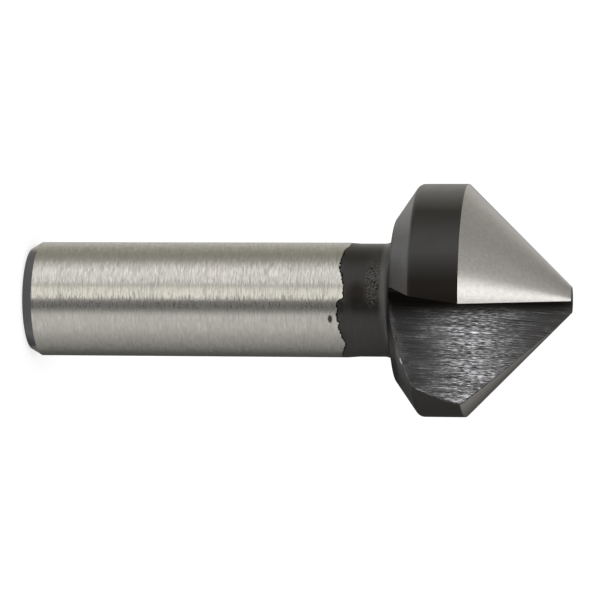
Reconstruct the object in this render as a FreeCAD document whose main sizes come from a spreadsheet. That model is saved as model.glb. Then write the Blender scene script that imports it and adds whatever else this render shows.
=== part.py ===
import FreeCAD, Part
import os
import Sketcher

# A single-flute countersink, turned, fluted and ground from one bar, standing on its shank end, point up.
# Origin at the centre of the shank's end face, +Z along the axis to the point, millimetres and degrees.
# The cutting edge looks along -Y and the land behind it runs round by -X: a right-hand tool.

DIMENSIONS = (
    # ground shank, bevelled at its end
    ("shankDiameter", "12.70"),
    ("shankLength", "35.80"),
    ("endBevelLength", "1.15"),
    ("endBevelDepth", "0.68"),
    # lathe centre drilled in the shank's end
    ("centreMouth", "3.35"),
    ("centreAngle", "60"),
    ("centrePilot", "1.60"),
    ("centreDepth", "3.80"),
    ("drillPointAngle", "118"),
    # neck, a shade thinner than the shank, with a fillet up to the head
    ("neckDiameter", "12.50"),
    ("neckLength", "5.40"),
    ("neckTaper", "1.20"),
    ("neckFillet", "1.40"),
    # head: flat back, back bevel, cylindrical margin, cone and tip flat
    ("headDiameter", "25.66"),
    ("backFaceDiameter", "18.10"),
    ("backBevelLength", "2.65"),
    ("backCornerRadius", "0.25"),
    ("headCornerRadius", "0.90"),
    ("marginLength", "5.37"),
    ("pointAngle", "90"),
    ("tipDiameter", "3.40"),
    # relief behind the cutting edge: the cone is ground as a screw surface that drops towards the shank
    ("grindingStock", "0.50"),
    ("reliefPitch", "0.52"),
    ("reliefLeadIn", "6"),
    ("reliefGap", "36"),
    ("reliefCore", "0.50"),
    ("reliefOverrun", "1.00"),
    # flute, left by a wheel whose flat side makes the rake face and whose bevelled rim makes the floor
    ("radialRake", "10.0"),
    ("axialRake", "8.2"),
    ("cornerDrop", "0.34"),
    ("wheelRadius", "63.00"),
    ("wheelAhead", "26.90"),
    ("wheelPastAxis", "1.82"),
    ("wheelRimAngle", "69.5"),
    ("wheelNoseRadius", "0.50"),
    ("wheelFaceDepth", "16.0"),
    ("wheelThickness", "18.0"),
)

# radii, slopes and heights that follow from the sheet
SHANK_RADIUS = "Sizes.shankDiameter / 2"
NECK_RADIUS = "Sizes.neckDiameter / 2"
BACK_FACE_RADIUS = "Sizes.backFaceDiameter / 2"
HEAD_RADIUS = "Sizes.headDiameter / 2"
TIP_RADIUS = "Sizes.tipDiameter / 2"
CONE_SLOPE = "tan(Sizes.pointAngle / 2 * 1 deg)"
BACK_FACE = "Sizes.shankLength + Sizes.neckLength"
MARGIN_BACK = BACK_FACE + " + Sizes.backBevelLength"
CONE_BASE = MARGIN_BACK + " + Sizes.marginLength"
TIP = "%s + (%s - %s) / %s" % (CONE_BASE, HEAD_RADIUS, TIP_RADIUS, CONE_SLOPE)


def originPlane(body, role):
    for feature in body.Origin.OriginFeatures:
        if feature.Role == role:
            return feature
    raise ValueError("no origin plane " + role)


def newSketch(body, name, support):
    sketch = body.newObject("Sketcher::SketchObject", name)
    sketch.AttachmentSupport = [(support, "")]
    sketch.MapMode = "FlatFace"
    return sketch


def drive(sketch, constraint, expression):
    """Add a constraint whose size follows an expression of the sheet."""
    number = sketch.addConstraint(constraint)
    sketch.setExpression("Constraints[%d]" % number, expression)


def outline(sketch, corners):
    """A closed outline of straight lines, each corner given across and up from the sketch's origin.

    In a constraint, -2 is the sketch's upright axis and -1 its level one, whose start is the origin. A line's
    start is 1 and its end 2.
    """
    places = [FreeCAD.Vector(float(sketch.evalExpression(across)), float(sketch.evalExpression(up)), 0)
              for across, up in corners]
    for start, end in zip(places, places[1:] + places[:1]):
        sketch.addGeometry(Part.LineSegment(start, end))
    for line, (across, up) in enumerate(corners):
        before = (line - 1) % len(corners)
        sketch.addConstraint(Sketcher.Constraint("Coincident", before, 2, line, 1))
        if across == "0":
            sketch.addConstraint(Sketcher.Constraint("PointOnObject", line, 1, -2))
        else:
            drive(sketch, Sketcher.Constraint("DistanceX", -1, 1, line, 1, places[line].x), across)
        if up == "0":
            sketch.addConstraint(Sketcher.Constraint("PointOnObject", line, 1, -1))
        else:
            drive(sketch, Sketcher.Constraint("DistanceY", -1, 1, line, 1, places[line].y), up)


def roundCorner(sketch, line, radius):
    """Round the corner where this line starts; the sharp corner stays as a construction point."""
    size = float(sketch.evalExpression(radius))
    sketch.fillet(line, 1, size, True, True)
    arc = max(number for number, curve in enumerate(sketch.Geometry) if isinstance(curve, Part.ArcOfCircle))
    drive(sketch, Sketcher.Constraint("Radius", arc, size), radius)


def turned(body, kind, name, sketch, axis):
    """A full turn of a sketch about one of its own axes, added or taken away."""
    feature = body.newObject(kind, name)
    feature.Profile = sketch
    feature.ReferenceAxis = (sketch, [axis])
    feature.Angle = 360
    return feature


doc = FreeCAD.newDocument("Countersink")
sizes = doc.addObject("Spreadsheet::Sheet", "Sizes")
for row, (alias, size) in enumerate(DIMENSIONS, start=1):
    sizes.set("A%d" % row, alias)
    sizes.set("B%d" % row, size)
    sizes.setAlias("B%d" % row, alias)
doc.recompute()

bit = doc.addObject("PartDesign::Body", "CountersinkBit")
bit.Label = "countersink_bit"
lengthwise = originPlane(bit, "XZ_Plane")
crosswise = originPlane(bit, "XY_Plane")

# the turned blank: half its section, with stock left on the cone for grinding
blankSection = newSketch(bit, "BlankSection", lengthwise)
outline(blankSection, (
    ("0", "0"),
    (SHANK_RADIUS + " - Sizes.endBevelDepth", "0"),
    (SHANK_RADIUS, "Sizes.endBevelLength"),
    (SHANK_RADIUS, "Sizes.shankLength"),
    (NECK_RADIUS, "Sizes.shankLength + Sizes.neckTaper"),
    (NECK_RADIUS, BACK_FACE),
    (BACK_FACE_RADIUS, BACK_FACE),
    (HEAD_RADIUS, MARGIN_BACK),
    (HEAD_RADIUS, CONE_BASE + " + Sizes.grindingStock"),
    (TIP_RADIUS + " + Sizes.grindingStock * " + CONE_SLOPE, TIP),
    ("0", TIP),
))
backWall = "%s - %s - Sizes.backCornerRadius" % (BACK_FACE_RADIUS, NECK_RADIUS)
roundCorner(blankSection, 5, "min(Sizes.neckFillet; %s)" % backWall)  # under the head
roundCorner(blankSection, 6, "Sizes.backCornerRadius")  # back face to bevel
roundCorner(blankSection, 7, "Sizes.headCornerRadius")  # bevel to margin
blank = turned(bit, "PartDesign::Revolution", "Blank", blankSection, "V_Axis")
doc.recompute()

# the lathe centre
centreSection = newSketch(bit, "CentreSection", lengthwise)
mouthDepth = "(Sizes.centreMouth - Sizes.centrePilot) / 2 / tan(Sizes.centreAngle / 2 * 1 deg)"
pilotPoint = "Sizes.centrePilot / 2 / tan(Sizes.drillPointAngle / 2 * 1 deg)"
outline(centreSection, (
    ("0", "0"),
    ("Sizes.centreMouth / 2", "0"),
    ("Sizes.centrePilot / 2", mouthDepth),
    ("Sizes.centrePilot / 2", "Sizes.centreDepth"),
    ("0", "Sizes.centreDepth + " + pilotPoint),
))
centreHole = turned(bit, "PartDesign::Groove", "CentreHole", centreSection, "V_Axis")
doc.recompute()

# The relief takes off everything outside the finished cone, by a screw motion of its straight edge. It starts
# just ahead of the cutting edge and leaves a gap, which the flute takes out. The sketch stands upright on
# the axis, turned to the start.
reliefSection = newSketch(bit, "ReliefSection", lengthwise)
reliefSection.setExpression("AttachmentOffset",
                            "placement(vector(0; 0; 0); rotation(0; Sizes.reliefLeadIn - 90; 0))")
reliefTop = "%s + (%s - Sizes.reliefCore) / %s" % (CONE_BASE, HEAD_RADIUS, CONE_SLOPE)
outline(reliefSection, (
    ("Sizes.reliefCore", reliefTop),
    (HEAD_RADIUS + " + Sizes.reliefOverrun", "%s - Sizes.reliefOverrun / %s" % (CONE_BASE, CONE_SLOPE)),
    (HEAD_RADIUS + " + Sizes.reliefOverrun", reliefTop),
))
relief = bit.newObject("PartDesign::SubtractiveHelix", "Relief")
relief.Profile = reliefSection
relief.ReferenceAxis = (reliefSection, ["V_Axis"])
relief.Mode = "pitch-turns-angle"
relief.Reversed = True
relief.setExpression("Pitch", "Sizes.reliefPitch")
relief.setExpression("Turns", "1 - Sizes.reliefGap / 360")
doc.recompute()

# the plane of the rake face: it crosses the axis level with the cone's base, a little behind the centre
rakePlane = bit.newObject("PartDesign::Plane", "RakePlane")
rakePlane.AttachmentSupport = [(crosswise, "")]
rakePlane.MapMode = "FlatFace"
behindCentre = "Sizes.cornerDrop - %s * tan(Sizes.radialRake * 1 deg)" % HEAD_RADIUS
rakePlane.setExpression("AttachmentOffset",
                        "placement(vector(%s; 0; %s); rotation(Sizes.radialRake; Sizes.axialRake; 0))"
                        % (behindCentre, CONE_BASE))

# The wheel's section, in a sketch whose level axis is the wheel's axle. The axle is ahead of the cone's base,
# out beyond the cutting edge, and there the rim reaches just past the tool's axis.
wheelSection = newSketch(bit, "WheelSection", rakePlane)
wheelSection.setExpression("AttachmentOffset",
                           "placement(vector(0; Sizes.wheelPastAxis - Sizes.wheelRadius; Sizes.wheelAhead); "
                           "rotation(0; 0; 0))")
rimFar = "Sizes.wheelRadius - Sizes.wheelThickness / tan(Sizes.wheelRimAngle * 1 deg)"
rimInner = "Sizes.wheelRadius - Sizes.wheelFaceDepth"
outline(wheelSection, (
    ("0", rimInner),
    ("0", "Sizes.wheelRadius"),
    ("Sizes.wheelThickness", rimFar),
    ("Sizes.wheelThickness", rimInner),
))
roundCorner(wheelSection, 1, "Sizes.wheelNoseRadius")  # the rim's leading corner
flute = turned(bit, "PartDesign::Groove", "Flute", wheelSection, "H_Axis")
bit.Tip = flute
doc.recompute()

stages = (blank, centreHole, relief, flute)
for before, after in zip(stages, stages[1:]):
    if after.Shape.Volume >= before.Shape.Volume:
        raise RuntimeError(after.Label + " takes nothing away")
for thing in doc.Objects:
    if "Invalid" in thing.State or "Error" in thing.State:
        raise RuntimeError("%s did not build: %s" % (thing.Label, thing.State))
if bit.Shape.isNull() or not bit.Shape.isValid() or len(bit.Shape.Solids) != 1:
    raise RuntimeError(bit.Label + " is not one valid solid")

os.makedirs("parts", exist_ok=True)
bit.Shape.exportStep("parts/%s.step" % bit.Label)
print("%s: %.1f mm3, %.2f mm long" % (bit.Label, bit.Shape.Volume, bit.Shape.optimalBoundingBox().ZLength))
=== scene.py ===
import math

import bmesh
import bpy
from mathutils import Matrix, Vector, noise


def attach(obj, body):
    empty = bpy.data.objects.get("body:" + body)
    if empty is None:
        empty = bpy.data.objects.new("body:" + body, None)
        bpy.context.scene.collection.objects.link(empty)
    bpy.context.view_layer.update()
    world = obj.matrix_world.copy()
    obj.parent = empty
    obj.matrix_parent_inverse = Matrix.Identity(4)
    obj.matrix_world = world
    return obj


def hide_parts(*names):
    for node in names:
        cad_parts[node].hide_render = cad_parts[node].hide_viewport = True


# A single-flute countersink standing on its shank end, point up. The mesh is worked out in millimetres, and
# scaled down to metres at the end.

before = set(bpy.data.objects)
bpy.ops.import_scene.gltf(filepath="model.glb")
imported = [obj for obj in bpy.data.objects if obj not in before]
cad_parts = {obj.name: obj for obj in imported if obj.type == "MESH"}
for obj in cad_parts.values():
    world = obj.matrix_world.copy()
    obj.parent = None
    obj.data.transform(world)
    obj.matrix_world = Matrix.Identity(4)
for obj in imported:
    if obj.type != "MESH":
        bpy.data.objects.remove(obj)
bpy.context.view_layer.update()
mm = 0.001

turnedSizes = {
    "shankRadius": 6.35, "shankLength": 35.8,
    "endBevelLength": 1.15, "endBevelDepth": 0.68,
    "centreMouth": 1.675, "centrePilot": 0.8, "centreDepth": 3.8,
    "centreAngle": 60.0, "drillPointAngle": 118.0,
    "neckRadius": 6.25, "neckTaper": 1.2, "neckLength": 5.4, "neckFillet": 1.4,
    "shankRings": 12, "filletSteps": 12,
    "columns": 160,             # round the land, from the cutting edge to the heel
    "gapColumns": 6,            # and on below the flute, from the heel to the cutting edge
}

headSizes = {
    "radius": 12.83, "backRadius": 9.05,
    "backBevel": 2.65, "backRound": 0.25, "marginRound": 0.9,
    "margin": 5.37, "tipRadius": 1.7,
    "reliefPitch": 0.52,        # how far the ground cone drops in a full turn
    "brokenEdge": 0.05,         # width of the stoned edge between margin and cone
    "reliefFade": 1.2,          # height below the tip over which the drop fades out
    "ringStep": 0.1,            # spacing of the rings of the mesh
    "backRoundSteps": 3, "marginRoundSteps": 8,
}

wheelSizes = {
    "radialRake": 10.0, "axialRake": 8.2, "cornerDrop": 0.34,
    "radius": 63.0, "ahead": 26.9, "pastAxis": 1.82,
    "rimAngle": 69.5, "nose": 0.5,
    "ridgeDepth": 0.035, "ridgeWidth": 0.32, "ridgeLength": 16.0, "ridgeFade": 1.2,
    # furrows of three kinds: width, depth and a shift that keeps them apart
    "furrows": ((1.0, 1.0, 0.0), (0.47, 0.55, 17.3), (2.3, 0.8, 41.9)),
    # turns between which a ring is searched for the flute: first, step and count
    "search": (-112.0, 0.5, 290),
    "floorColumns": 110, "noseColumns": 6, "rakeColumns": 24,
    # least shares of the flute's section for the floor, the rake face and the nose between them
    "leastFloor": 0.3, "leastRake": 0.15, "leastNose": 0.02,
    # bare steel and painted glints along the heel's edge: how far they reach, and on which columns
    "burrGlintWidth": 0.4,           # how far from the heel its edge shows wear
    "burrGlintColumns": (2, 12),     # columns on the land and on the floor that may show it
}

backFace = turnedSizes["shankLength"] + turnedSizes["neckLength"]
marginBack = backFace + headSizes["backBevel"]
coneBase = marginBack + headSizes["margin"]
tipHeight = coneBase + headSizes["radius"] - headSizes["tipRadius"]


# the grinding wheel that left the flute: its axle, the way it moved out from the tool, and its middle

yaw = math.radians(wheelSizes["radialRake"])
pitch = math.radians(wheelSizes["axialRake"])
axle = Vector((math.cos(yaw) * math.cos(pitch), math.sin(yaw) * math.cos(pitch), -math.sin(pitch)))
lengthwise = Vector((math.sin(pitch) * math.cos(yaw), math.sin(pitch) * math.sin(yaw), math.cos(pitch)))
inward = Vector((-math.sin(yaw), math.cos(yaw), 0.0))
rakeFoot = Vector((wheelSizes["cornerDrop"] - headSizes["radius"] * math.tan(yaw), 0.0, coneBase))
wheelMiddle = (rakeFoot + wheelSizes["ahead"] * lengthwise
               + (wheelSizes["pastAxis"] - wheelSizes["radius"]) * inward)

rimAngle = math.radians(wheelSizes["rimAngle"])
nose = wheelSizes["nose"]
noseReach = nose / math.tan(rimAngle / 2)
faceEnd = wheelSizes["radius"] - noseReach      # radius at which the wheel's flat side turns into its nose
noseLength = nose * (math.pi - rimAngle)
rimStart = noseReach * math.sin(rimAngle)       # how far along the axle the rim's cone starts


def wheelPlace(point):
    away = point - wheelMiddle
    return away.dot(axle), away.dot(lengthwise), away.dot(inward)


def ridge(along, length):
    # furrows that the coarse grit of the wheel left: they run round the wheel and come and go
    furrows = 0.0
    for width, depth, shift in wheelSizes["furrows"]:
        spot = Vector((along / (wheelSizes["ridgeWidth"] * width),
                       length / (wheelSizes["ridgeLength"] * math.sqrt(width)), shift))
        furrows += depth * noise.noise(spot)
    fade = min(max((along - rimStart) / wheelSizes["ridgeFade"], 0.0), 1.0)
    return wheelSizes["ridgeDepth"] * furrows * fade


def rimRadius(along, length):
    if along < rimStart:
        return faceEnd + math.sqrt(max(nose ** 2 - (along - nose) ** 2, 0.0))
    return wheelSizes["radius"] - along / math.tan(rimAngle) + ridge(along, length)


def cutDepth(point):
    # how deep a point lies inside the wheel, or below 0 outside it
    along, length, out = wheelPlace(point)
    if along <= 0:
        return along
    return min(along, rimRadius(along, length) - math.hypot(length, out))


def sectionPlace(point):
    # distance along the wheel's section: below 0 on the flat side, then round the nose and up the rim
    along, length, out = wheelPlace(point)
    if along >= rimStart:
        return noseLength + (along - rimStart) / math.sin(rimAngle)
    radius = math.hypot(length, out)
    if radius <= faceEnd:
        return radius - faceEnd
    return nose * math.acos(max(-1.0, min(1.0, (nose - along) / nose)))


def wheelPoint(place, height):
    if place <= 0:
        along, radius = 0.0, faceEnd + place
    elif place < noseLength:
        turn = place / nose
        along, radius = nose - nose * math.cos(turn), faceEnd + nose * math.sin(turn)
    else:
        along = rimStart + (place - noseLength) * math.sin(rimAngle)
        radius = None
    length = (height - wheelMiddle.z - along * axle.z) / lengthwise.z
    if radius is None:
        radius = rimRadius(along, length)
    out = math.sqrt(radius ** 2 - length ** 2)
    return wheelMiddle + along * axle + length * lengthwise + out * inward


# rings of the head: height at the cutting edge, radius, share of the relief's drop, and what surface starts

class Ring:
    def __init__(self, height, radius, share, cone, surface, sharp=False):
        self.height, self.radius, self.share, self.cone = height, radius, share, cone
        self.surface, self.sharp = surface, sharp

    def point(self, turn):
        drop = headSizes["reliefPitch"] * turn / (2 * math.pi)
        radius = self.radius - ((1 - self.share) * drop if self.cone else 0.0)
        return Vector((-radius * math.sin(turn), -radius * math.cos(turn), self.height - self.share * drop))


def spaced(start, end, step):
    count = max(1, round(abs(end - start) / step))
    return [start + (end - start) * i / count for i in range(1, count + 1)]


def roundedCorner(before, corner, after, radius, steps):
    # points of the arc that rounds a corner of the profile, each as (radius, height)
    before, corner, after = Vector(before), Vector(corner), Vector(after)
    first, second = (before - corner).normalized(), (after - corner).normalized()
    half = first.angle(second) / 2
    reach = radius / math.tan(half)
    middle = corner + (first + second).normalized() * radius / math.sin(half)
    start, end = corner + first * reach - middle, corner + second * reach - middle
    sweep = start.angle_signed(end)
    return [middle + Matrix.Rotation(-sweep * i / steps, 2) @ start for i in range(steps + 1)]


def headRings():
    step = headSizes["ringStep"]
    radius, back = headSizes["radius"], headSizes["backRadius"]
    under = (turnedSizes["neckRadius"], backFace)
    rings = []
    lowCorner = roundedCorner(under, (back, backFace), (radius, marginBack),
                              headSizes["backRound"], headSizes["backRoundSteps"])
    highCorner = roundedCorner((back, backFace), (radius, marginBack), (radius, coneBase),
                               headSizes["marginRound"], headSizes["marginRoundSteps"])
    for corner in lowCorner:
        rings.append(Ring(corner.y, corner.x, 0, False, "oxide"))
    start, end = lowCorner[-1], highCorner[0]
    for height in spaced(start.y, end.y, step)[:-1]:
        rings.append(Ring(height, start.x + (end.x - start.x) * (height - start.y) / (end.y - start.y),
                          0, False, "oxide"))
    for corner in highCorner:
        rings.append(Ring(corner.y, corner.x, 0, False, "oxide"))
    base = coneBase - headSizes["brokenEdge"]
    low = highCorner[-1].y
    for height in spaced(low, base, step):
        rings.append(Ring(height, radius, (height - low) / (base - low), False, "oxide"))
    rings[-1].surface, rings[-1].sharp = "cone", True
    base = coneBase + headSizes["brokenEdge"]
    for height in [base] + spaced(base, tipHeight, step):
        share = min(1.0, (tipHeight - height) / headSizes["reliefFade"])
        rings.append(Ring(height, radius - (height - coneBase), share, True, "cone"))
    rings[-1].sharp = True
    return rings


def bisect(ring, inside, outside):
    for _ in range(40):
        middle = (inside + outside) / 2
        if cutDepth(ring.point(middle)) > 0:
            inside = middle
        else:
            outside = middle
    return (inside + outside) / 2


def cutEnds(ring):
    # the turns at which a ring meets the cutting edge and the heel, or nothing behind the flute's end
    first, step, count = wheelSizes["search"]
    turns = [math.radians(first + step * i) for i in range(count)]
    depths = [cutDepth(ring.point(turn)) for turn in turns]
    deepest = max(range(len(turns)), key=lambda i: depths[i])
    if depths[deepest] <= 0:
        return None
    front = deepest
    while depths[front] > 0:
        front += 1
    heel = deepest
    while depths[heel] > 0:
        heel -= 1
    return bisect(ring, turns[front - 1], turns[front]), bisect(ring, turns[heel + 1], turns[heel])


def flutePoints(edge, heel):
    # from the heel down the flute's floor, round its root and up the rake face to the cutting edge
    start, end = sectionPlace(heel), sectionPlace(edge)
    span = start - end
    root = min(noseLength, start - wheelSizes["leastFloor"] * span)
    foot = min(max(0.0, end + wheelSizes["leastRake"] * span), root - wheelSizes["leastNose"] * span)
    places = []
    for first, last, count in ((start, root, wheelSizes["floorColumns"]),
                               (root, foot, wheelSizes["noseColumns"]),
                               (foot, end, wheelSizes["rakeColumns"])):
        places += [first + (last - first) * i / count for i in range(1, count + 1)]
    points = []
    for place in places[:-1]:
        share = (start - place) / span
        points.append(wheelPoint(place, heel.z + (edge.z - heel.z) * share))
    return points


# the mesh

surfaces = ("oxide", "shank", "cone", "flute")
bit = bmesh.new()
# share of bare steel and painted glints along the heel
wearAndGlint = bit.verts.layers.float.new("heelWearAndGlint")


def addRing(points):
    return [bit.verts.new(point) for point in points]


def skin(lower, upper, surface, sharp=False):
    count = len(lower)
    for i in range(count):
        j = (i + 1) % count
        face = bit.faces.new((lower[i], upper[i], upper[j], lower[j]))
        face.material_index = surfaces.index(surface)
        face.smooth = True
        if sharp:
            bit.edges.get((lower[i], lower[j])).smooth = False


rings = headRings()
ends = [cutEnds(ring) for ring in rings]
firstCut = next(i for i, cut in enumerate(ends) if cut)
ends[:firstCut] = [ends[firstCut]] * firstCut
columns = turnedSizes["columns"]
print("the flute meets the head on", len(rings), "rings")

# The turned part, from the bottom of the lathe centre out and up to the back of the head: radius, height,
# what surface starts and whether its edge is sharp. A ring close to an edge keeps the shading beside it even.
t = turnedSizes
slope = (t["centreMouth"] - t["centrePilot"]) / math.tan(math.radians(t["centreAngle"] / 2))
endRadius = t["shankRadius"] - t["endBevelDepth"]
fillet = roundedCorner((t["neckRadius"], t["shankLength"]), (t["neckRadius"], backFace),
                       (headSizes["backRadius"], backFace), t["neckFillet"], t["filletSteps"])
profile = [(t["centrePilot"], t["centreDepth"], "oxide", True),
           (t["centrePilot"], slope, "oxide", True),
           (t["centreMouth"], 0.0, "oxide", True),
           (t["centreMouth"] + 0.1, 0.0, "oxide", False),
           (endRadius - 0.1, 0.0, "oxide", False),
           (endRadius, 0.0, "oxide", True),
           (endRadius + 0.04, 0.07, "oxide", False),
           (t["shankRadius"] - 0.03, t["endBevelLength"] - 0.05, "oxide", False),
           (t["shankRadius"], t["endBevelLength"], "shank", True)]
low, high = t["endBevelLength"] + 0.1, t["shankLength"] - 0.1
profile += [(t["shankRadius"], low + (high - low) * i / t["shankRings"], "shank", False)
            for i in range(t["shankRings"] + 1)]
profile += [(t["shankRadius"], t["shankLength"], "shank", True),
            (t["shankRadius"] - 0.015, t["shankLength"] + 0.12, "shank", False),
            (t["shankRadius"] - 0.03, t["shankLength"] + 0.3, "oxide", False),
            (t["neckRadius"] + 0.015, t["shankLength"] + t["neckTaper"] - 0.12, "oxide", False),
            (t["neckRadius"], t["shankLength"] + t["neckTaper"], "oxide", False),
            (t["neckRadius"], fillet[0].y - 0.8, "oxide", False)]
profile += [(corner.x, corner.y, "oxide", False) for corner in fillet]

edgeTurn, heelTurn = ends[0]
gapColumns = t["gapColumns"]
turns = [edgeTurn + (heelTurn + 2 * math.pi - edgeTurn) * i / columns for i in range(columns + 1)]
turns += [heelTurn + 2 * math.pi + (edgeTurn - heelTurn) * i / gapColumns for i in range(1, gapColumns)]

pilotPoint = t["centrePilot"] / math.tan(math.radians(t["drillPointAngle"] / 2))
centre = bit.verts.new((0, 0, t["centreDepth"] + pilotPoint))
previous = None
for radius, height, surface, sharp in profile:
    ring = addRing([(-radius * math.sin(turn), -radius * math.cos(turn), height) for turn in turns])
    if previous is None:
        for i in range(len(ring)):
            face = bit.faces.new((centre, ring[i], ring[(i + 1) % len(ring)]))
            face.material_index, face.smooth = surfaces.index("oxide"), True
    else:
        skin(previous[0], ring, previous[1], previous[2])
    previous = (ring, surface, sharp)
neckRing = previous[0]

# the head: land, flute floor and rake face in each ring
loops = []
fluteColumns = wheelSizes["floorColumns"] + wheelSizes["noseColumns"] + wheelSizes["rakeColumns"] - 1
for level, (ring, (edge, heel)) in enumerate(zip(rings, ends)):
    land = [ring.point(edge + (heel + 2 * math.pi - edge) * i / columns) for i in range(columns + 1)]
    if level < firstCut:
        flute = [ring.point(heel + (edge - heel) * i / (fluteColumns + 1))
                 for i in range(1, fluteColumns + 1)]
    else:
        flute = flutePoints(land[0], land[-1])
    loops.append(addRing(land + flute))

for level, (ring, lower, upper) in enumerate(zip(rings, loops, loops[1:])):
    count = len(lower)
    for i in range(count):
        j = (i + 1) % count
        face = bit.faces.new((lower[i], upper[i], upper[j], lower[j]))
        face.smooth = True
        inFlute = i >= columns and level >= firstCut
        face.material_index = surfaces.index("flute" if inFlute else ring.surface)
        if ring.sharp and i < columns:
            bit.edges.get((lower[i], lower[j])).smooth = False
    if level >= firstCut:
        for column in (0, columns):
            bit.edges.get((lower[column], upper[column])).smooth = False

# the flat back of the head, closed round the start of the flute
first = loops[0]
for i in range(columns):
    face = bit.faces.new((neckRing[i], first[i], first[i + 1], neckRing[i + 1]))
    face.material_index, face.smooth = surfaces.index("oxide"), True
gap = [neckRing[i % len(neckRing)] for i in range(columns, len(neckRing) + 1)]
face = bit.faces.new(gap[::-1] + first[columns:] + [first[0]])
face.material_index = surfaces.index("oxide")

# the flat tip
face = bit.faces.new(loops[-1])
face.material_index = surfaces.index("oxide")
for edge in face.edges:
    edge.smooth = False

# bare steel and painted glints along the heel's edge
onLand, onFloor = wheelSizes["burrGlintColumns"]
for loop in loops[firstCut:]:
    heelPoint = loop[columns].co
    for vertex in loop[columns - onLand:columns + onFloor]:
        vertex[wearAndGlint] = max(0.0, 1 - (vertex.co - heelPoint).length / wheelSizes["burrGlintWidth"])

bmesh.ops.recalc_face_normals(bit, faces=bit.faces)
bmesh.ops.scale(bit, vec=(mm, mm, mm), verts=bit.verts)
mesh = bpy.data.meshes.new("countersinkBit")
bit.to_mesh(mesh)
bit.free()
countersink = bpy.data.objects.new("countersinkBit", mesh)
bpy.context.scene.collection.objects.link(countersink)
print("mesh:", len(mesh.vertices), "vertices,", len(mesh.polygons), "faces")


# materials

def newMaterial(name):
    material = bpy.data.materials.new(name)
    material.use_nodes = True
    tree = material.node_tree
    tree.nodes.clear()
    return material, tree


def node(tree, kind, inputs=(), **settings):
    made = tree.nodes.new("ShaderNode" + kind)
    for key, value in settings.items():
        setattr(made, key, value)
    for socket, value in dict(inputs).items():
        if isinstance(value, bpy.types.NodeSocket):
            tree.links.new(value, made.inputs[socket])
        else:
            made.inputs[socket].default_value = value
    return made


def maths(tree, operation, *values):
    return node(tree, "Math", dict(enumerate(values)), operation=operation).outputs[0]


def vectors(tree, operation, *values):
    made = node(tree, "VectorMath", dict(enumerate(values)), operation=operation)
    return made.outputs["Value" if operation in ("LENGTH", "DISTANCE", "DOT_PRODUCT") else "Vector"]


def stretch(tree, value, low, high, newLow=0.0, newHigh=1.0):
    made = node(tree, "MapRange", {"Value": value, "From Min": low, "From Max": high,
                                   "To Min": newLow, "To Max": newHigh}, clamp=True)
    return made.outputs["Result"]


def band(tree, value, start, full, fade, end):
    # a share that rises from start to full, and falls again from fade to end
    return maths(tree, "MINIMUM", stretch(tree, value, start, full), stretch(tree, value, end, fade))


def mixed(tree, first, share, second):
    return maths(tree, "ADD", maths(tree, "MULTIPLY", first, share),
                 maths(tree, "MULTIPLY", second, 1 - share))


def blendColour(tree, share, first, second):
    return node(tree, "Mix", {0: share, 6: first, 7: second}, data_type="RGBA").outputs[2]


def noiseAt(tree, place, scale=1.0, detail=2.0, roughness=0.5):
    return node(tree, "TexNoise", {"Vector": place, "Scale": scale, "Detail": detail,
                                   "Roughness": roughness}).outputs["Fac"]


def millimetres(tree):
    place = node(tree, "TexCoord").outputs["Object"]
    return vectors(tree, "MULTIPLY", place, (1000, 1000, 1000))


def apart(tree, place):
    split = node(tree, "SeparateXYZ", {"Vector": place})
    return split.outputs["X"], split.outputs["Y"], split.outputs["Z"]


def turnedMarks(tree, place, width, length):
    # noise drawn out round the axis into marks of about this width and length
    x, y, height = apart(tree, place)
    radius = vectors(tree, "LENGTH", node(tree, "CombineXYZ", {"X": x, "Y": y}).outputs[0])
    fine = maths(tree, "MULTIPLY", maths(tree, "ADD", radius, height), 1 / width)
    marks = node(tree, "CombineXYZ", {"X": maths(tree, "MULTIPLY", x, 1 / length),
                                      "Y": maths(tree, "MULTIPLY", y, 1 / length), "Z": fine})
    return noiseAt(tree, marks.outputs[0], 1.0, 2.0, 0.6)


def groundMarks(tree, place, look):
    # long and short grinding marks together, and the short ones alone
    lines = turnedMarks(tree, place, look["markWidth"], look["lineLength"])
    dashes = turnedMarks(tree, place, look["markWidth"], look["markLength"])
    return mixed(tree, lines, look["lineShare"], dashes), dashes


def patch(tree, place, middle, size, soft):
    # a soft oval round a spot
    away = vectors(tree, "MULTIPLY", vectors(tree, "SUBTRACT", place, middle), [1 / side for side in size])
    return stretch(tree, vectors(tree, "LENGTH", away), 1.0 + soft, 1.0 - soft)


def follow(tree, value, points):
    # a colour that runs straight from point to point, each a place and a brightness or a colour
    low, high = points[0][0], points[-1][0]
    ramp = node(tree, "ValToRGB", {"Fac": stretch(tree, value, low, high)})
    stops = ramp.color_ramp.elements
    while len(stops) < len(points):
        stops.new(0.5)
    for stop, (spot, shade) in zip(stops, points):
        stop.position = (spot - low) / (high - low)
    for stop, (spot, shade) in zip(stops, points):
        stop.color = (*shade, 1.0) if isinstance(shade, tuple) else (shade, shade, shade, 1.0)
    return ramp.outputs["Color"]


def bumped(tree, height, look):
    strength, distance = look["bump"]
    return node(tree, "Bump", {"Height": height, "Strength": strength, "Distance": distance}).outputs[0]


def roundAxis(tree):
    return node(tree, "Tangent", direction_type="RADIAL", axis="Z").outputs[0]


# share of bare steel and painted glints along the heel
def heelWearAndGlint(tree):
    return node(tree, "Attribute", attribute_name="heelWearAndGlint").outputs["Fac"]


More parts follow.
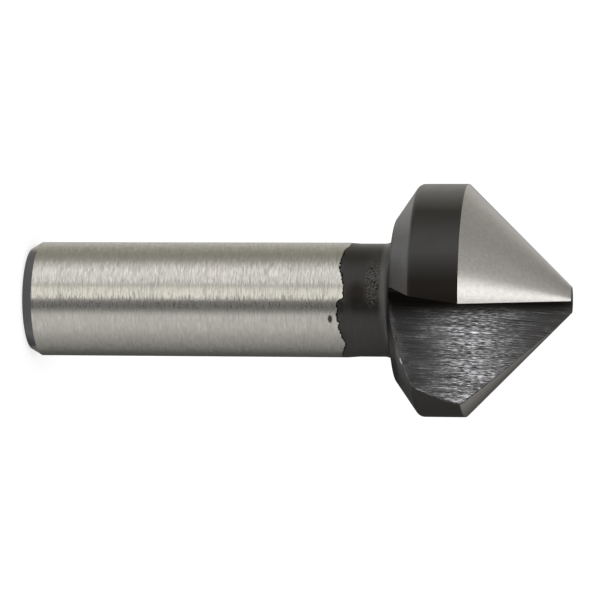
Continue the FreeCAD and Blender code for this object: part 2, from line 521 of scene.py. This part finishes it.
def shader(tree, **inputs):
    names = {"colour": "Base Color", "metal": "Metallic", "rough": "Roughness", "brushed": "Anisotropic",
             "spin": "Anisotropic Rotation", "tangent": "Tangent", "normal": "Normal", "ior": "IOR"}
    made = node(tree, "BsdfPrincipled", {names[key]: value for key, value in inputs.items()})
    node(tree, "OutputMaterial", {"Surface": made.outputs[0]})


# Places below are in millimetres. A pair of them is where a change starts and where it is complete. Four of
# them are where a band starts, is full, starts to fade and ends. A bump is a strength and a depth in metres.

oxideLook = {
    "dark": (0.0080, 0.0068, 0.0058, 1), "light": (0.0185, 0.0168, 0.0155, 1), "blend": (0.80, 1.20),
    "cloudScale": 0.42, "markWidth": 0.11, "markLength": 2.5,
    "rough": (0.29, 0.42), "bump": (0.5, 0.000004), "ior": 1.6,
    # the bevelled end of the shank is blue-grey, and bare at its sides
    "endBevel": (0.045, 0.047, 0.053, 1), "endBevelHeight": (1.6, 1.3), "bareSides": (5.2, 5.7),
    # a painted highlight along the fillet under the head, down to the heel's side; its pale colour also
    # serves the pale specks
    "fillet": (0.080, 0.078, 0.072, 1), "filletSheenBand": (39.75, 40.05, 40.35, 40.55), "filletSheenSide": (2.6, 0.6),
    # the margin is darker than the neck, starts with a smudged black line, and has a painted highlight on its
    # -X side
    "margin": (0.0016, 0.0012, 0.0010, 1), "marginStart": (43.62, 43.82), "marginShare": 0.8,
    "marginLine": (43.60, 43.72, 43.85, 44.05), "smudges": (0.42, 0.60, 0.35, 1.0),
    "paintedSheen": (0.12, 0.118, 0.115, 1), "marginSheenSide": (-9.6, -12.7),
    # and so has the back bevel, in the colour of bare steel
    "bevelBand": (41.25, 41.45, 43.6, 43.75), "bevelSheenSide": (-6.8, -10.2), "bevelSheenShare": 0.6,
    # brown on the neck: each patch is a middle, sizes, softness and share
    "brown": (0.010, 0.006, 0.0045, 1),
    "brownPatches": (((-3.4, -5.2, 37.2), (3.0, 3.2, 1.7), 0.4, 0.25),
                     ((-0.7, -6.2, 37.4), (1.5, 2.0, 1.15), 0.5, 0.65)),
    # pale and dark specks beside it
    "speckledPatch": ((-1.9, -6.0, 39.1), (2.6, 3.0, 0.75), 0.25), "speckScale": 5.5,
    "paleSpecks": (0.54, 0.62), "darkSpecks": (0.46, 0.40),
    # painted shade in the crease under the head, more so and wider on the heel's side, and on the land by the
    # edge; the same dark colour serves the dark specks
    "darkSpeckAndShade": (0.012, 0.009, 0.0075, 1),
    "creaseStart": (40.6, 40.75), "creaseEnd": (41.6, 41.3), "creaseSide": (0.8, 2.4), "creaseWidening": 0.6,
    "creaseShare": (0.0, 2.4, 0.5, 1.0),
    "edgeShade": (-5.2, -2.0), "edgeShadeFront": (0.0, -3.0), "edgeShadeShare": 0.8, "edgeShadeLimit": 0.6,
    # steel that shows through in dots along the heel, and in one nick, painted brighter as glints of their
    # edges
    "bareAndGlint": (0.30, 0.29, 0.29, 1), "dotScale": 2.4, "dotLimits": (1.48, 1.55),
    "nickPlace": (6.55, -9.14, 42.72), "nick": (0.8, 0.8, 0.8, 1), "nickReach": (0.40, 0.32),
}
shankLook = {
    "steel": (0.77, 0.757, 0.725, 1), "duller": (0.56, 0.55, 0.525, 1), "blend": (0.33, 0.67),
    "brushed": 1.0, "spin": 0.25, "rough": (0.38, 0.62, 0.48, 0.24), "bump": (0.8, 0.000006), "ior": 1.6,
    "markWidth": 0.115, "markLength": 0.85, "lineLength": 5.0, "lineShare": 0.3,
    "sway": 1.0,                # how far the short marks turn from the round
    # how plainly the marks show, by x: painted glints, strongest where the light bands fall
    "glintContrast": ((-6.4, 0.25), (-4.6, 0.30), (-4.1, 0.36), (-2.3, 0.36), (-1.8, 0.65), (0.1, 0.80),
                 (0.9, 0.80), (1.5, 0.30), (6.4, 0.25)),
    # height at which the black starts, by x, how ragged its edge is, and how wide the blackest part
    "oxideStart": ((-6.4, 36.4), (-6.0, 36.2), (-5.6, 35.8), (-5.3, 35.5), (-4.9, 35.6), (-4.3, 35.37),
                   (-3.3, 35.45), (-2.7, 35.57), (-1.7, 35.82), (-0.3, 35.92), (0.0, 35.45), (0.4, 35.15),
                   (1.0, 35.25), (1.7, 35.1), (2.4, 35.3), (3.0, 35.36), (3.7, 35.5), (4.3, 35.75),
                   (5.0, 35.85), (5.5, 35.5), (6.4, 35.1)),
    "oxideFloor": 34.5, "oxideRag": 1.1, "ragScales": (1.1, 3.4), "ragShare": 0.55,
    "edge": (-0.03, 0.03), "outline": (0.2, 0.13), "outlineColour": (0.004, 0.004, 0.004, 1),
    # one spot short of it
    "spot": (2.1, -6.0, 34.50), "spotStretch": (0.68, 0.68, 1.25), "spotRag": 0.25, "spotReach": (0.50, 0.36),
    "spotShare": 0.93, "spotColour": (0.035, 0.033, 0.031, 1),
}
coneLook = {
    "steel": (0.62, 0.605, 0.585, 1), "duller": (0.52, 0.505, 0.485, 1), "blend": (0.35, 0.65),
    "brushed": 0.6, "spin": 0.25, "rough": 0.32, "bump": (0.5, 0.000004),
    "markWidth": 0.10, "markLength": 0.35, "lineLength": 4.0, "lineShare": 0.3,
}
fluteLook = {
    "dark": (0.065, 0.0635, 0.065, 1), "middle": (0.125, 0.123, 0.127, 1), "bare": (0.60, 0.60, 0.62, 1),
    "gap": (0.010, 0.0098, 0.010, 1), "bright": (0.190, 0.190, 0.196, 1),
    "rough": 0.36, "brushed": 0.80, "bump": (1.0, 0.00004),
    # long scratches, dashes on them and grit between them, each with a width and a length
    "streakWidth": 0.072, "streakLength": 12.0, "dashLength": 0.4, "gritWidth": 0.072, "gritLength": 0.8,
    "patchSize": (1.2, 2.4),
    "scratchBlend": (0.36, 0.66), "glintMix": (0.55, 0.30, 0.15), "glintLimits": (0.56, 0.70),
    "gritLimits": (0.44, 0.565), "shineSpread": 0.2, "shineLimits": (0.645, 0.695),
    # by height: how much the grit shows, as painted glints where the light falls on the floor, and how light
    # the floor is, as painted shade towards its ends
    "paintedGlintZone": ((43.0, 0.0), (45.0, 0.12), (46.5, 0.3), (48.0, 0.65), (49.0, 0.9), (50.0, 1.0), (51.0, 0.70),
                (53.0, 0.58), (55.0, 0.25), (57.0, 0.0)),
    "shade": ((41.0, 0.75), (44.0, 0.92), (46.0, 1.0), (50.0, 1.0), (54.0, 1.0), (57.0, 0.95)),
    # a painted shadow: the dark strip below the cutting edge, where the land shades the floor; it narrows
    # towards the tip from this height on
    "root": (0.030, 0.027, 0.025, 1), "stripStart": 0.42, "stripWidth": 1.55, "stripPower": 1.3,
    "taperFrom": 48.0, "stripTaper": 0.07,
    "burrGlintScale": 1.6, "burrGlintLimits": (1.42, 1.5),
}


def oxideColour(tree, place):
    cloud = noiseAt(tree, place, oxideLook["cloudScale"], 4.0)
    fine = turnedMarks(tree, place, oxideLook["markWidth"], oxideLook["markLength"])
    share = stretch(tree, maths(tree, "ADD", fine, cloud), *oxideLook["blend"])
    return blendColour(tree, share, oxideLook["dark"], oxideLook["light"]), cloud, fine


def oxideMaterial():
    material, tree = newMaterial("blackOxide")
    look = oxideLook
    place = millimetres(tree)
    x, y, height = apart(tree, place)
    colour, cloud, fine = oxideColour(tree, place)

    def paint(share, shade):
        nonlocal colour
        colour = blendColour(tree, share, colour, shade)

    def both(first, second):
        return maths(tree, "MULTIPLY", first, second)

    def either(first, second):
        return maths(tree, "MAXIMUM", first, second)

    onEndBevel = stretch(tree, height, *look["endBevelHeight"])
    bare = both(onEndBevel, stretch(tree, maths(tree, "ABSOLUTE", x), *look["bareSides"]))
    paint(onEndBevel, look["endBevel"])
    paint(bare, shankLook["duller"])
    # painted highlight along the fillet under the head
    paint(both(band(tree, height, *look["filletSheenBand"]), stretch(tree, x, *look["filletSheenSide"])),
          look["fillet"])

    onMargin = stretch(tree, height, *look["marginStart"])
    paint(both(onMargin, look["marginShare"]), look["margin"])
    # painted highlight on the margin's -X side
    paint(both(onMargin, stretch(tree, x, *look["marginSheenSide"])), look["paintedSheen"])
    # painted highlight along the back bevel's -X side
    paintedSheen = stretch(tree, x, *look["bevelSheenSide"], 0.0, look["bevelSheenShare"])
    paint(both(band(tree, height, *look["bevelBand"]), paintedSheen), look["bareAndGlint"])
    smudges = stretch(tree, noiseAt(tree, place, 0.8, 3.0, 0.6), *look["smudges"])
    paint(both(band(tree, height, *look["marginLine"]), smudges), (0.0, 0.0, 0.0, 1))

    brown = either(*[both(patch(tree, place, middle, size, soft), share)
                     for middle, size, soft, share in look["brownPatches"]])
    paint(brown, look["brown"])
    speckled = patch(tree, place, *look["speckledPatch"])
    specks = noiseAt(tree, place, look["speckScale"], 2.0, 0.7)
    paint(both(speckled, stretch(tree, specks, *look["paleSpecks"])), look["fillet"])
    pits = both(speckled, stretch(tree, specks, *look["darkSpecks"]))

    # painted shade in the crease under the head, wider on the heel's side
    widening = stretch(tree, x, *look["creaseSide"], 0.0, look["creaseWidening"])
    crease = maths(tree, "MINIMUM", stretch(tree, height, *look["creaseStart"]),
                   stretch(tree, maths(tree, "SUBTRACT", height, widening), *look["creaseEnd"]))
    crease = both(crease, stretch(tree, x, *look["creaseShare"]))
    # painted shade on the land by the cutting edge
    nearEdge = both(stretch(tree, x, *look["edgeShade"]),
                    both(stretch(tree, y, *look["edgeShadeFront"]), both(onMargin, look["edgeShadeShare"])))
    nearEdge = both(nearEdge, maths(tree, "LESS_THAN", x, look["edgeShadeLimit"]))
    # the dark specks and the painted shade together
    specksAndShade = either(pits, either(crease, nearEdge))
    paint(specksAndShade, look["darkSpeckAndShade"])

    # bare steel with painted glints in dots along the heel, and a painted glint on one nick
    dots = noiseAt(tree, place, look["dotScale"], 3.0, 0.7)
    paint(stretch(tree, maths(tree, "ADD", heelWearAndGlint(tree), dots), *look["dotLimits"]), look["bareAndGlint"])
    nickAway = vectors(tree, "DISTANCE", place, look["nickPlace"])
    paint(stretch(tree, nickAway, *look["nickReach"]), look["nick"])
    shader(tree, colour=colour, rough=stretch(tree, cloud, 0.3, 0.7, *look["rough"]),
           normal=bumped(tree, fine, look), metal=either(bare, either(specksAndShade, brown)), ior=look["ior"])
    return material


def shankMaterial():
    material, tree = newMaterial("groundShank")
    look = shankLook
    place = millimetres(tree)
    x, _, height = apart(tree, place)
    marks, dashes = groundMarks(tree, place, look)
    # painted glints: the marks are drawn stronger where the light bands fall
    glintContrast = follow(tree, x, look["glintContrast"])
    marks = maths(tree, "MULTIPLY_ADD", maths(tree, "MULTIPLY_ADD", marks, 2.0, -1.0), glintContrast, 0.5)
    colour = blendColour(tree, stretch(tree, marks, *look["blend"]), look["duller"], look["steel"])

    # the black oxide starts along a ragged line near the neck and is blackest at its edge
    coarse, fine = look["ragScales"]
    rag = mixed(tree, noiseAt(tree, place, coarse, 2.0), look["ragShare"],
                noiseAt(tree, place, fine, 3.0, 0.7))
    floor = look["oxideFloor"]
    start = follow(tree, x, [(spot, (start - floor) / 2) for spot, start in look["oxideStart"]])
    start = maths(tree, "ADD", floor - look["oxideRag"] / 2,
                  maths(tree, "ADD", maths(tree, "MULTIPLY", start, 2.0),
                        maths(tree, "MULTIPLY", rag, look["oxideRag"])))
    past = maths(tree, "SUBTRACT", height, start)
    oxide, outline = stretch(tree, past, *look["edge"]), stretch(tree, past, *look["outline"])

    away = vectors(tree, "MULTIPLY", vectors(tree, "SUBTRACT", place, look["spot"]), look["spotStretch"])
    away = maths(tree, "ADD", vectors(tree, "LENGTH", away), maths(tree, "MULTIPLY", rag, look["spotRag"]))
    colour = blendColour(tree, stretch(tree, away, *look["spotReach"], 0.0, look["spotShare"]), colour,
                         look["spotColour"])
    black = blendColour(tree, outline, oxideColour(tree, place)[0], look["outlineColour"])
    colour = blendColour(tree, oxide, colour, black)
    metal = maths(tree, "MAXIMUM", maths(tree, "SUBTRACT", 1.0, oxide), outline)

    # the finer a mark, the sharper it mirrors, and the short ones turn a little from the round
    sway = maths(tree, "MULTIPLY", maths(tree, "SUBTRACT", dashes, 0.5), look["sway"])
    tangent = vectors(tree, "ADD", roundAxis(tree), node(tree, "CombineXYZ", {"Z": sway}).outputs[0])
    shader(tree, colour=colour, rough=stretch(tree, marks, *look["rough"]), brushed=look["brushed"],
           spin=look["spin"], tangent=vectors(tree, "NORMALIZE", tangent), normal=bumped(tree, marks, look),
           metal=metal, ior=look["ior"])
    return material


def coneMaterial():
    material, tree = newMaterial("groundCone")
    look = coneLook
    marks, _ = groundMarks(tree, millimetres(tree), look)
    colour = blendColour(tree, stretch(tree, marks, *look["blend"]), look["duller"], look["steel"])
    shader(tree, colour=colour, rough=look["rough"], brushed=look["brushed"], spin=look["spin"],
           tangent=roundAxis(tree), normal=bumped(tree, marks, look), metal=1.0)
    return material


def fluteMaterial():
    material, tree = newMaterial("wheelGroundFlute")
    look = fluteLook
    place = millimetres(tree)
    x, _, height = apart(tree, place)
    away = vectors(tree, "SUBTRACT", place, wheelMiddle)
    along, length, out = [vectors(tree, "DOT_PRODUCT", away, way) for way in (axle, lengthwise, inward)]
    radius = vectors(tree, "LENGTH", node(tree, "CombineXYZ", {"X": length, "Y": out}).outputs[0])
    across = maths(tree, "SUBTRACT", along, radius)
    around = maths(tree, "MULTIPLY", maths(tree, "ARCTAN2", length, out), wheelSizes["radius"])

    def marks(width, reach, detail=1.0):
        spot = node(tree, "CombineXYZ", {"X": maths(tree, "MULTIPLY", across, 1 / width),
                                         "Y": maths(tree, "MULTIPLY", around, 1 / reach)}).outputs[0]
        return noiseAt(tree, spot, 1.0, detail, 0.6)

    # long scratches from the wheel, shorter ones, bright dashes, and patches where they show most
    width, reach = look["streakWidth"], look["streakLength"]
    scratches = mixed(tree, marks(width, reach), 0.5, marks(1.8 * width, reach / 3))
    dashes, patches = marks(width, look["dashLength"], 2.0), marks(*look["patchSize"], 2.0)
    parts = [maths(tree, "MULTIPLY", part, share)
             for part, share in zip((scratches, dashes, patches), look["glintMix"])]
    glint = maths(tree, "ADD", maths(tree, "ADD", parts[0], parts[1]), parts[2])
    colour = blendColour(tree, stretch(tree, scratches, *look["scratchBlend"]), look["dark"], look["middle"])
    colour = blendColour(tree, stretch(tree, glint, *look["glintLimits"]), colour, look["bare"])

    grit = mixed(tree, marks(look["gritWidth"], look["gritLength"]), 0.5, scratches)
    shine = maths(tree, "MULTIPLY_ADD", patches, look["shineSpread"], grit)
    shine = stretch(tree, shine, *look["shineLimits"])
    grit = blendColour(tree, stretch(tree, grit, *look["gritLimits"]), look["gap"], look["bright"])
    grit = blendColour(tree, shine, grit, look["bare"])
    # painted glints: the grit shows most where the light falls on the floor
    colour = blendColour(tree, follow(tree, height, look["paintedGlintZone"]), colour, grit)
    # painted shade: the floor darker towards its ends, most at the back of the head
    colour = blendColour(tree, follow(tree, height, look["shade"]), look["gap"], colour)

    # painted shadow below the cutting edge, where the land shades the floor, narrowing towards the tip
    ahead = maths(tree, "MAXIMUM", maths(tree, "SUBTRACT", height, look["taperFrom"]), 0.0)
    strip = maths(tree, "SUBTRACT", look["stripWidth"], maths(tree, "MULTIPLY", ahead, look["stripTaper"]))
    lit = maths(tree, "DIVIDE", maths(tree, "SUBTRACT", x, look["stripStart"]), strip)
    lit = stretch(tree, lit, 0.0, 1.0)
    colour = blendColour(tree, maths(tree, "POWER", lit, look["stripPower"]), look["root"], colour)

    # bare steel with painted glints along the heel
    burrAndGlint = maths(tree, "ADD", heelWearAndGlint(tree), noiseAt(tree, place, look["burrGlintScale"], 3.0, 0.7))
    burrAndGlint = stretch(tree, burrAndGlint, *look["burrGlintLimits"])
    colour = blendColour(tree, burrAndGlint, colour, oxideLook["bareAndGlint"])
    axleWay = node(tree, "CombineXYZ", {"X": axle.x, "Y": axle.y, "Z": axle.z}).outputs[0]
    shader(tree, colour=colour, rough=look["rough"], brushed=look["brushed"], tangent=axleWay,
           normal=bumped(tree, glint, look), metal=maths(tree, "SUBTRACT", 1.0, burrAndGlint))
    return material


for made in (oxideMaterial(), shankMaterial(), coneMaterial(), fluteMaterial()):
    mesh.materials.append(made)
print("materials:", ", ".join(m.name for m in mesh.materials))

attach(countersink, "root")
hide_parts("countersink_bit")


# floor, background and light, in metres

studio = {
    "floorSize": 6.0, "floorGlow": 0.60, "floorColour": (0.5, 0.5, 0.5, 1),
    "skyLight": 0.9,
    # round the tool from the camera's side: turn in degrees, brightness, and how much blue is missing
    "tentPanels": ((-180, 0.06, 0.07), (-138, 0.12, 0.07), (-120, 0.26, 0.07), (-100, 0.40, 0.07),
                   (-80, 0.52, 0.08), (-60, 0.72, 0.08), (-34, 0.78, 0.08), (-24, 0.26, 0.10),
                   (-18, 0.05, 0.10), (-1, 0.03, 0.10), (1, 0.92, 0.12), (23, 0.95, 0.16),
                   (27, 0.50, 0.10), (36, 1.05, 0.06), (60, 1.22, 0.05), (74, 0.88, 0.08),
                   (86, 0.44, 0.14), (103, 0.33, 0.19), (120, 0.42, 0.17), (140, 0.60, 0.12),
                   (160, 0.66, 0.05), (180, 0.25, 0.05)),
    "tentGreen": 0.98, "tentRadius": 1.5, "tentFoot": -1.1,
    "tentTop": 0.42, "tentTopColour": (1.0, 0.975, 0.93), "tentTopHeights": (0.35, 0.95),
    # panels overhead: left, right, near, far, height and brightness
    "softboxes": {"topSoftbox": (-0.12, 0.0, -0.24, 0.04, 0.62, 2.1),
                  "sideSoftbox": (-0.38, -0.12, -0.14, 0.10, 0.62, 0.14),
                  "frontSoftbox": (-0.26, 0.0, -0.60, -0.52, 0.62, 17.0)},
}


def seenDirectly(tree):
    # 1 for the rays that show a surface itself, by looking at it or in a mirror or through glass
    rays = node(tree, "LightPath").outputs
    return maths(tree, "MAXIMUM", rays["Is Camera Ray"],
                 maths(tree, "MAXIMUM", rays["Is Glossy Ray"], rays["Is Transmission Ray"]))


def studioFloor():
    mesh = bpy.data.meshes.new("floor")
    half = studio["floorSize"] / 2
    corners = [(-half, -half, 0), (half, -half, 0), (half, half, 0), (-half, half, 0)]
    mesh.from_pydata(corners, [], [(0, 1, 2, 3)])
    floor = bpy.data.objects.new("floor", mesh)
    bpy.context.scene.collection.objects.link(floor)
    material, tree = newMaterial("paleFloor")
    strength = maths(tree, "MULTIPLY", seenDirectly(tree), studio["floorGlow"])
    glow = node(tree, "Emission", {"Color": (1, 1, 1, 1), "Strength": strength})
    paint = node(tree, "BsdfDiffuse", {"Color": studio["floorColour"]})
    both = node(tree, "AddShader", {0: glow.outputs[0], 1: paint.outputs[0]})
    node(tree, "OutputMaterial", {"Surface": both.outputs[0]})
    mesh.materials.append(material)
    floor.visible_glossy = False


def lightTent():
    # a ball of pale and dark cloth that only reflections see
    tent = bmesh.new()
    bmesh.ops.create_uvsphere(tent, u_segments=48, v_segments=24, radius=studio["tentRadius"])
    bmesh.ops.delete(tent, geom=[v for v in tent.verts if v.co.z < studio["tentFoot"]], context="VERTS")
    mesh = bpy.data.meshes.new("lightTent")
    tent.to_mesh(mesh)
    tent.free()
    ball = bpy.data.objects.new("lightTent", mesh)
    bpy.context.scene.collection.objects.link(ball)
    material, tree = newMaterial("tentCloth")
    x, y, height = apart(tree, node(tree, "TexCoord").outputs["Object"])
    turn = maths(tree, "ARCTAN2", maths(tree, "MULTIPLY", x, -1.0), maths(tree, "MULTIPLY", y, -1.0))
    brightest = max(value for angle, value, blueless in studio["tentPanels"])
    panels = []
    for angle, value, blueless in studio["tentPanels"]:
        shade = (1.0, studio["tentGreen"], 1 - blueless)
        panels.append((math.radians(angle), tuple(value / brightest * part for part in shade)))
    top = [studio["tentTop"] / brightest * part for part in studio["tentTopColour"]] + [1.0]
    high = stretch(tree, height, *studio["tentTopHeights"])
    cloth = blendColour(tree, high, follow(tree, turn, panels), top)
    glow = node(tree, "Emission", {"Color": cloth, "Strength": brightest})
    node(tree, "OutputMaterial", {"Surface": glow.outputs[0]})
    mesh.materials.append(material)
    for ray in ("camera", "diffuse", "transmission", "volume_scatter", "shadow"):
        setattr(ball, "visible_" + ray, False)


def softbox(name, left, right, near, far, height, brightness):
    # a flat panel overhead that faces straight down, given by its sides
    light = bpy.data.lights.new(name, "AREA")
    light.shape = "RECTANGLE"
    light.size, light.size_y = right - left, far - near
    light.energy = brightness * math.pi * light.size * light.size_y
    lamp = bpy.data.objects.new(name, light)
    lamp.location = ((left + right) / 2, (near + far) / 2, height)
    bpy.context.scene.collection.objects.link(lamp)


def background():
    world = bpy.data.worlds.new("studio")
    bpy.context.scene.world = world
    world.use_nodes = True
    tree = world.node_tree
    tree.nodes.clear()
    sky = node(tree, "Background", {"Color": (1, 1, 1, 1), "Strength": studio["skyLight"]})
    white = node(tree, "Background", {"Color": (1, 1, 1, 1), "Strength": 1.0})
    choice = node(tree, "MixShader", {0: seenDirectly(tree), 1: sky.outputs[0], 2: white.outputs[0]})
    node(tree, "OutputWorld", {"Surface": choice.outputs[0]})
    bpy.context.scene.view_settings.view_transform = "Standard"


studioFloor()
lightTent()
for name, panel in studio["softboxes"].items():
    softbox(name, *panel)
background()
print("studio: floor, tent, softboxes and a white background")


# the camera looks square at the shank, a little down from the tip's side, with the tip to the right

cameraSetting = {"tilt": 0.1743, "roll": 0.0047, "place": (0.00006, -0.3896, 0.09084),
                 "lens": 213.47, "sensor": 36.0, "shift": 0.1187, "clip": (0.01, 20.0)}
tilt, roll = cameraSetting["tilt"], cameraSetting["roll"]
levelRight, levelUp = Vector((0, math.sin(tilt), math.cos(tilt))), Vector((-1, 0, 0))
right = math.cos(roll) * levelRight + math.sin(roll) * levelUp
up = math.cos(roll) * levelUp - math.sin(roll) * levelRight
back = right.cross(up)
lens = bpy.data.cameras.new("camera")
lens.lens, lens.sensor_width, lens.shift_x = [cameraSetting[key] for key in ("lens", "sensor", "shift")]
lens.clip_start, lens.clip_end = cameraSetting["clip"]
camera = bpy.data.objects.new("camera", lens)
camera.matrix_world = Matrix((right, up, back)).transposed().to_4x4()
camera.location = cameraSetting["place"]
bpy.context.scene.collection.objects.link(camera)
bpy.context.scene.camera = camera
